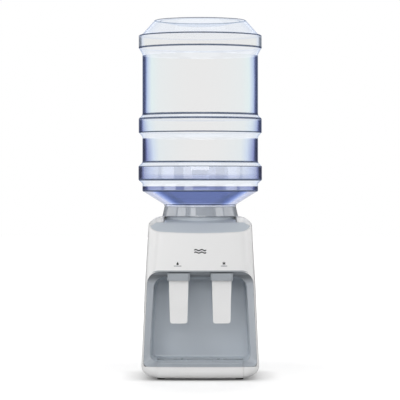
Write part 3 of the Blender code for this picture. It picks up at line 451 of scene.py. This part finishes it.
# band, foot and cone tints paint reflection; crease and edge tints paint shade along the creases
CLEAR_KINDS = {
    "band": clear_wall("clear_band_finish", LOW_BAND_WALL, HIGH_BAND_WALL, change=(0.446, 0.453), gloss=0.06),
    "ring": clear_wall("clear_ring_finish", RING_WALL),
    "foot": clear_wall("clear_foot_finish", FOOT_WALL, gloss=0.10),
    "cone": clear_wall("clear_cone_finish", CONE_WALL, gloss=0.03),
    "slope": clear_wall("clear_slope_finish", SLOPE_WALL, gloss=0.02),
    "crease": clear_wall("clear_crease_finish", CREASE_WALL, gloss=0.02, behind=(0.88, 0.90, 0.94)),
    "edge": clear_wall("clear_edge_finish", CREASE_WALL, gloss=0.02, behind=(0.60, 0.66, 0.74)),
    "dish": clear_wall("clear_dish_finish", DISH_WALL),
}
build_bottle()

# ---------------------------------------------------------------- collar
COLLAR_STEPS = 160
COLLAR_OUTLINE = ((0.0837, 0.3572), (0.0843, 0.3578), (0.0842, 0.3585), (0.0840, 0.3594), (0.0801, 0.3771),
                  (0.0799, 0.3780), (0.0794, 0.3785), (0.0773, 0.3785), (0.0773, 0.3770), (0.0810, 0.3592),
                  (0.0770, 0.3592), (0.0768, 0.3572))
RIM_OUTLINE = ((0.0771, 0.3788), (0.0795, 0.3788), (0.0800, 0.3792), (0.0802, 0.3799), (0.0803, 0.3807),
               (0.0802, 0.3815), (0.0800, 0.3820), (0.0796, 0.3823), (0.0790, 0.3823), (0.0780, 0.3816),
               (0.0771, 0.3808))
ring = bmesh.new()
lathe(ring, COLLAR_OUTLINE, COLLAR_STEPS)
collar = new_piece("collar_ring", ring, GLOSSY_GREY, "cabinet")
# the rim's pale finish is a painted highlight
rim = bmesh.new()
lathe(rim, RIM_OUTLINE, COLLAR_STEPS)
new_piece("collar_rim", rim, RIM_HIGHLIGHT, "cabinet", sharp=60.0)
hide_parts("bottle_collar")

# ---------------------------------------------------------------- marks on the front
front = frame["nodes"]["front_shell"]
front_surface = BVHTree.FromPolygons([v.co for v in front.data.vertices],
                                     [p.vertices for p in front.data.polygons])
MARK_PROUD = 0.00015


def panel_y(x, z):
    """Where the front panel's surface lies behind the point (x, z)."""
    return front_surface.ray_cast(Vector((x, -0.3, z)), Vector((0.0, 1.0, 0.0)))[0].y


def mark(name, shapes, finish):
    """Flat shapes printed on the front panel; each is a ring of (x, z) points."""
    bm = bmesh.new()
    for shape in shapes:
        layers = []
        for lift in (-MARK_PROUD, 0.0004):
            layer = []
            for x, z in shape:
                layer.append(bm.verts.new((x, panel_y(x, z) + lift, z)))
            layers.append(layer)
        near, far = layers
        bm.faces.new(near)
        bm.faces.new(far[::-1])
        for k in range(len(near)):
            bm.faces.new((near[k - 1], near[k], far[k], far[k - 1]))
    return new_piece(name, bm, finish, "cabinet")


def bar(x, z, width, height):
    return [(x - width / 2, z - height / 2), (x + width / 2, z - height / 2),
            (x + width / 2, z + height / 2), (x - width / 2, z + height / 2)]


def drop(x, z, size):
    """A water drop, point up."""
    ring = []
    for step in range(24):
        angle = 2 * math.pi * step / 24
        pinch = 0.5 * (1 - math.cos(angle)) ** 0.9 * 0.55
        ring.append((x + size * pinch * math.sin(angle), z + size * 0.5 * math.cos(angle)))
    return ring


def wave(x, z, width, height, thick, crests=2):
    """A wavy band."""
    steps = 32
    line = [(x + width * (k / steps - 0.5), z + height * math.sin(2 * math.pi * crests * k / steps))
            for k in range(steps + 1)]
    return [(a, b - thick / 2) for a, b in line] + [(a, b + thick / 2) for a, b in reversed(line)]


def flake(x, z, size):
    arms = []
    for k in range(3):
        angle = math.pi * k / 3 + math.pi / 2
        turn = Matrix.Rotation(angle, 2)
        arms.append([tuple(Vector((x, z)) + turn @ Vector(p)) for p in bar(0.0, 0.0, size, size * 0.20)])
    return arms


# a grey strip on the panel just above the bay's mouth: painted shade where the panel's edge rounds into the bay
SHADE_STRIP_TOP = 0.2381
SHADE_STRIP_HALF_WIDTH = 0.1150
SHADE_STRIP_RADIUS = 0.025
SHADE_STRIP_WIDTH = 0.0024
# the strip's cross-section: share of its width away from the mouth, distance behind the panel's surface
SHADE_STRIP_SECTION = ((0.0, 0.0006), (0.0, -0.0002), (0.5, -0.0005), (1.0, -0.0002), (1.0, 0.0006))


def mouth_shade_strip():
    """A grey strip along the top of the bay's mouth, running out round both corners: painted shade where the panel's
    edge rounds into the bay.
    """
    bm = bmesh.new()
    middle_x, middle_z = SHADE_STRIP_HALF_WIDTH - SHADE_STRIP_RADIUS, SHADE_STRIP_TOP - SHADE_STRIP_RADIUS
    angles = [math.radians(5.0 * step) for step in range(17)]
    path = [(middle_x + SHADE_STRIP_RADIUS * math.cos(a), middle_z + SHADE_STRIP_RADIUS * math.sin(a), a) for a in angles]
    path = path + [(middle_x * (1 - k / 12), SHADE_STRIP_TOP, math.pi / 2) for k in range(13)]
    path = path + [(-x, z, math.pi - a) for x, z, a in reversed(path[:-1])]
    rings = []
    for x, z, a in path:
        along = Vector((math.cos(a), math.sin(a)))
        reach = SHADE_STRIP_WIDTH * max(0.15, math.sin(a)) ** 0.6
        beside = Vector((x, z)) + along * 0.0030
        front_y = panel_y(*beside)
        ring = []
        for out, lift in SHADE_STRIP_SECTION:
            at = Vector((x, z)) + along * (0.0002 + out * reach)
            ring.append(bm.verts.new((at.x, front_y + lift, at.y)))
        rings.append(ring)
    for one, two in zip(rings, rings[1:]):
        for k in range(len(SHADE_STRIP_SECTION)):
            bm.faces.new((one[k - 1], one[k], two[k], two[k - 1]))
    bm.faces.new(rings[0])
    bm.faces.new(rings[-1][::-1])
    return new_piece("mouth_shade_strip", bm, FINISHES["grey_plastic"], "cabinet", sharp=60.0)


mouth_shade_strip()

ICON_Z = 0.2563
LINE_Z = 0.2505
LOGO_Z = 0.2845
mark("logo_mark", [wave(0.0, LOGO_Z + rise, 0.0262, 0.0012, 0.0028) for rise in (0.0008, -0.0046)], PRINT)
mark("ambient_icon", [drop(-0.0492, ICON_Z, 0.0075)], PRINT)
mark("cold_icon", flake(0.0517, ICON_Z, 0.0072), PRINT)
mark("ambient_line", [bar(-0.0492, LINE_Z, 0.0165, 0.0014)], PALE_PRINT)
mark("cold_line", [bar(0.0517, LINE_Z, 0.0140, 0.0014)], PALE_PRINT)

# ---------------------------------------------------------------- floor and light
floor_mesh = bpy.data.meshes.new("floor")
FLOOR_HALF = 14.0
corners = [(x * FLOOR_HALF, y * FLOOR_HALF, 0.0) for x, y in ((-1, -1), (1, -1), (1, 1), (-1, 1))]
floor_mesh.from_pydata(corners, [], [(0, 1, 2, 3)])
floor = bpy.data.objects.new("floor", floor_mesh)
SCENE.collection.objects.link(floor)
floor_finish = moulded("floor_finish", (0.70, 0.70, 0.70), 0.70, grain=300.0, depth=0.00002, shade=0.0)
ft = floor_finish.node_tree
floor_shader = ft.nodes["Principled BSDF"]
# a glow for the eye only, none under the base, growing outwards from it, white far off: painted light on the floor,
# and with none near the base the floor there is darker, painted shade round and under the base
spot = node(ft, "VectorMath", {0: node(ft, "TexCoord").outputs["Object"]}, operation="ABSOLUTE").outputs[0]
spot = node(ft, "VectorMath", {0: spot, 1: (0.080, 0.085, 0.0)}, operation="SUBTRACT").outputs[0]
spot = node(ft, "VectorMath", {0: spot, 1: (0.0, 0.0, 0.0)}, operation="MAXIMUM").outputs[0]
outwards = node(ft, "VectorMath", {0: spot}, operation="LENGTH").outputs["Value"]
near = spread(ft, outwards, 0.0, 0.42, 0.0, 0.10)
far = spread(ft, outwards, 0.0, 0.65, 0.3, 1.8)
glow = node(ft, "Math", {0: near, 1: far}, operation="ADD").outputs[0]
seen = node(ft, "LightPath").outputs["Is Camera Ray"]
glow = node(ft, "Math", {0: glow, 1: seen}, operation="MULTIPLY").outputs[0]
floor_shader.inputs["Emission Color"].default_value = (1.0, 1.0, 1.0, 1.0)
ft.links.new(glow, floor_shader.inputs["Emission Strength"])
floor_mesh.materials.append(floor_finish)

world = bpy.data.worlds.new("studio")
world.use_nodes = True
SCENE.world = world
wt = world.node_tree
direction = node(wt, "TexCoord").outputs["Generated"]
up = node(wt, "SeparateXYZ", {"Vector": direction}).outputs["Z"]
AMBIENT = ((0.0, 0.08), (0.5, 0.10), (0.75, 0.13), (1.0, 0.15))   # brightness from straight down to straight up
around = ramp(wt, spread(wt, up, 0.0, 1.0, -1.0, 1.0), [(at, (level, level, level)) for at, level in AMBIENT])
seen = node(wt, "LightPath").outputs["Is Camera Ray"]
wt.links.new(blend(wt, seen, around, (1.0, 1.0, 1.0)), wt.nodes["Background"].inputs["Color"])


def softbox(name, azimuth, distance, height, width, tall, radiance, aim):
    """A soft light; azimuth 0 stands in front of the dispenser, positive to its right."""
    light = bpy.data.lights.new(name, "AREA")
    light.shape = "RECTANGLE"
    light.size = width
    light.size_y = tall
    light.energy = radiance * 4.0 * width * tall
    lamp = bpy.data.objects.new(name, light)
    turn = math.radians(azimuth)
    lamp.location = (distance * math.sin(turn), -distance * math.cos(turn), height)
    lamp.rotation_euler = (Vector((0.0, 0.0, aim)) - lamp.location).to_track_quat("-Z", "Y").to_euler()
    lamp.visible_camera = False
    SCENE.collection.objects.link(lamp)


# name, azimuth, distance, height, width, tall, radiance, height aimed at
LIGHTS = (
    ("key_left", -62.0, 2.4, 0.8, 1.15, 1.7, 1.5, 0.35),
    ("strip_left", -22.5, 2.6, 0.8, 0.75, 1.7, 1.7, 0.35),
    ("key_right", 64.0, 2.4, 0.8, 1.10, 1.7, 1.5, 0.35),
    ("top", 0.0, 0.5, 2.6, 2.0, 2.0, 0.9, 0.2),
    ("front_high", 0.0, 2.4, 2.3, 2.2, 1.2, 1.4, 0.2),
    ("front_low", 0.0, 3.0, 1.05, 1.8, 0.9, 3.0, 0.2),
    ("side_left", -105.0, 2.4, 0.9, 2.0, 1.7, 1.0, 0.35),
    ("side_right", 105.0, 2.4, 0.9, 2.0, 1.7, 1.0, 0.35),
    ("rear", 180.0, 3.0, 1.7, 2.4, 1.2, 2.5, 0.2),
)
for light in LIGHTS:
    softbox(*light)
